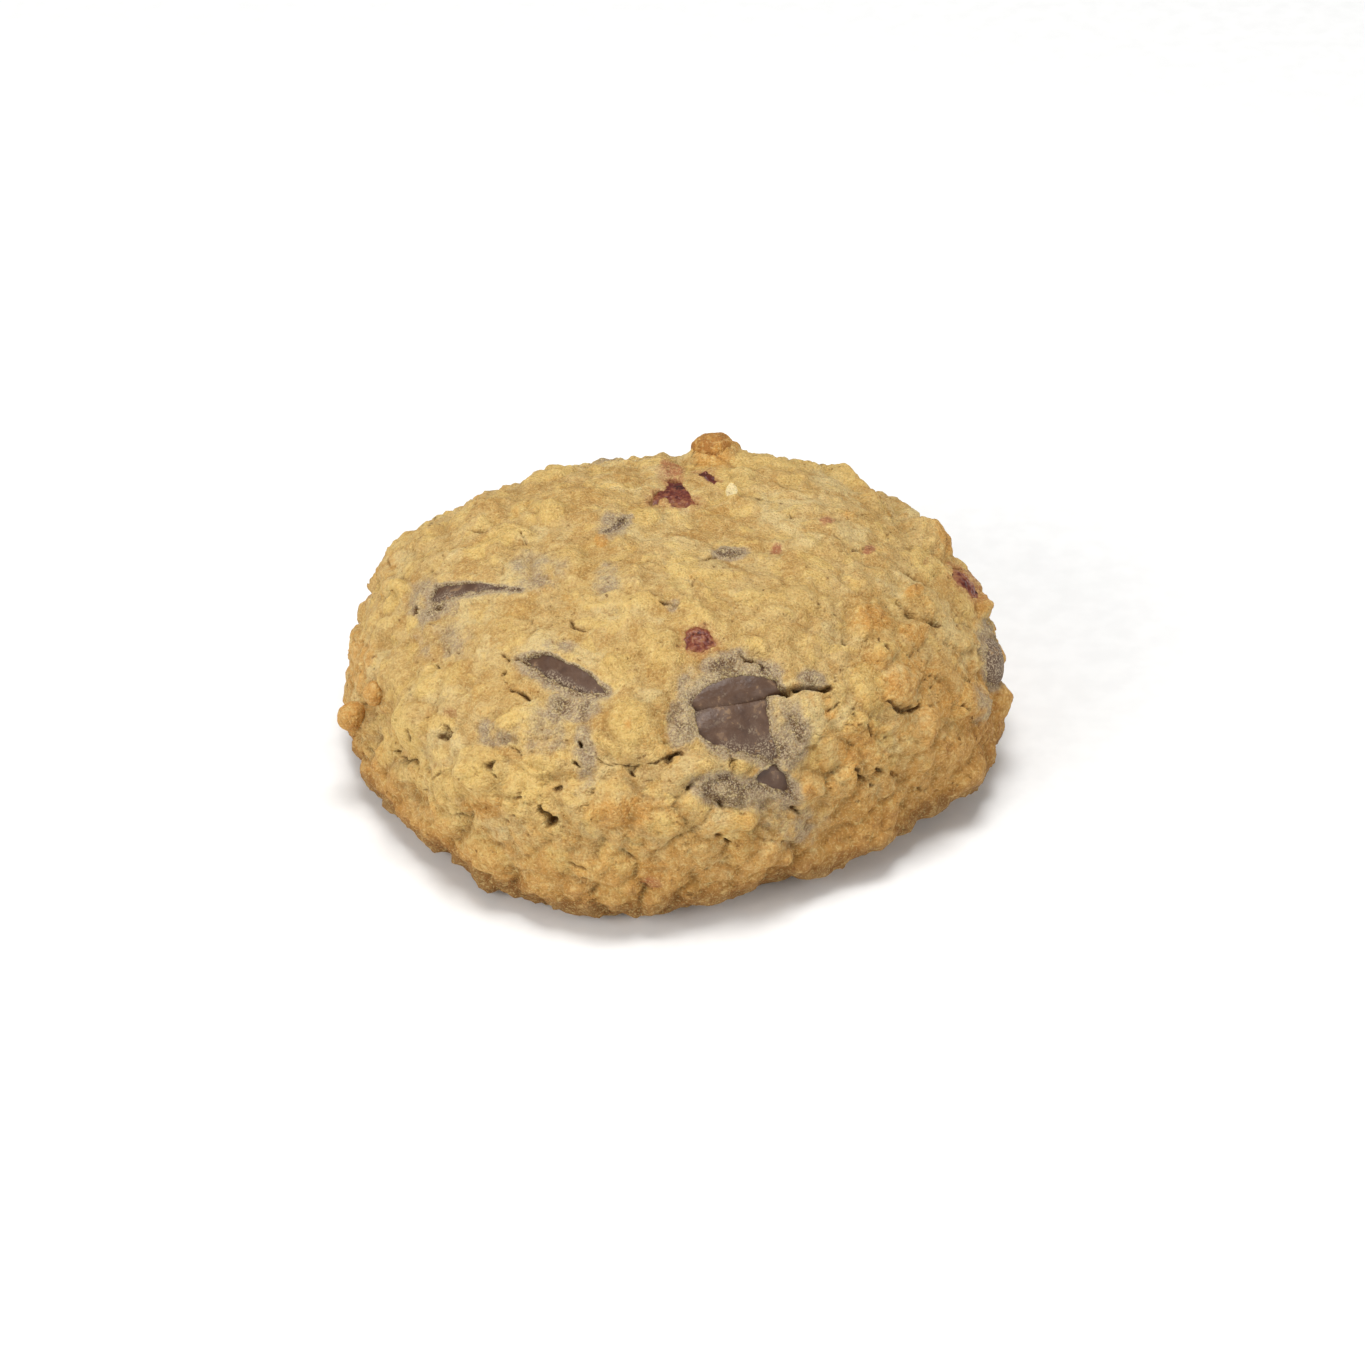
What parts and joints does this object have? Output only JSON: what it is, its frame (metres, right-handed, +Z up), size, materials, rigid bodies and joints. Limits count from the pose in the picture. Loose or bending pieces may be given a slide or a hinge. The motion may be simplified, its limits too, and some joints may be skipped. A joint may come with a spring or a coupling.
{
  "type": "strawberry cookie",
  "caption": "Thick domed oat cookie with dried strawberry and chocolate showing through its craggy crust, resting on a flat base.",
  "frame": {"origin": "middle of the bounding box, on the flat underside", "axes": "+X along the longest way across, towards the right of the pictured side, +Y away from that side, +Z up out of the baked top"},
  "size_m": [0.0745, 0.0673, 0.029],
  "materials": {
    "dough": "matte baked oat crust",
    "chocolate": "satin",
    "strawberry": "sticky and translucent"
  },
  "bodies": {
    "root": {"cookie_dough": "dough", "chocolate_front_upper": "chocolate", "chocolate_front_lower": "chocolate", "chocolate_front_low": "chocolate", "chocolate_left": "chocolate", "chocolate_far_left": "chocolate", "chocolate_right_edge": "chocolate", "chocolate_top": "chocolate", "chocolate_back": "chocolate", "chocolate_back_low": "chocolate", "strawberry_top": "strawberry", "strawberry_top_small": "strawberry", "strawberry_front": "strawberry", "strawberry_right_edge": "strawberry", "strawberry_back": "strawberry", "strawberry_back_left": "strawberry"}
  },
  "joints": []
}
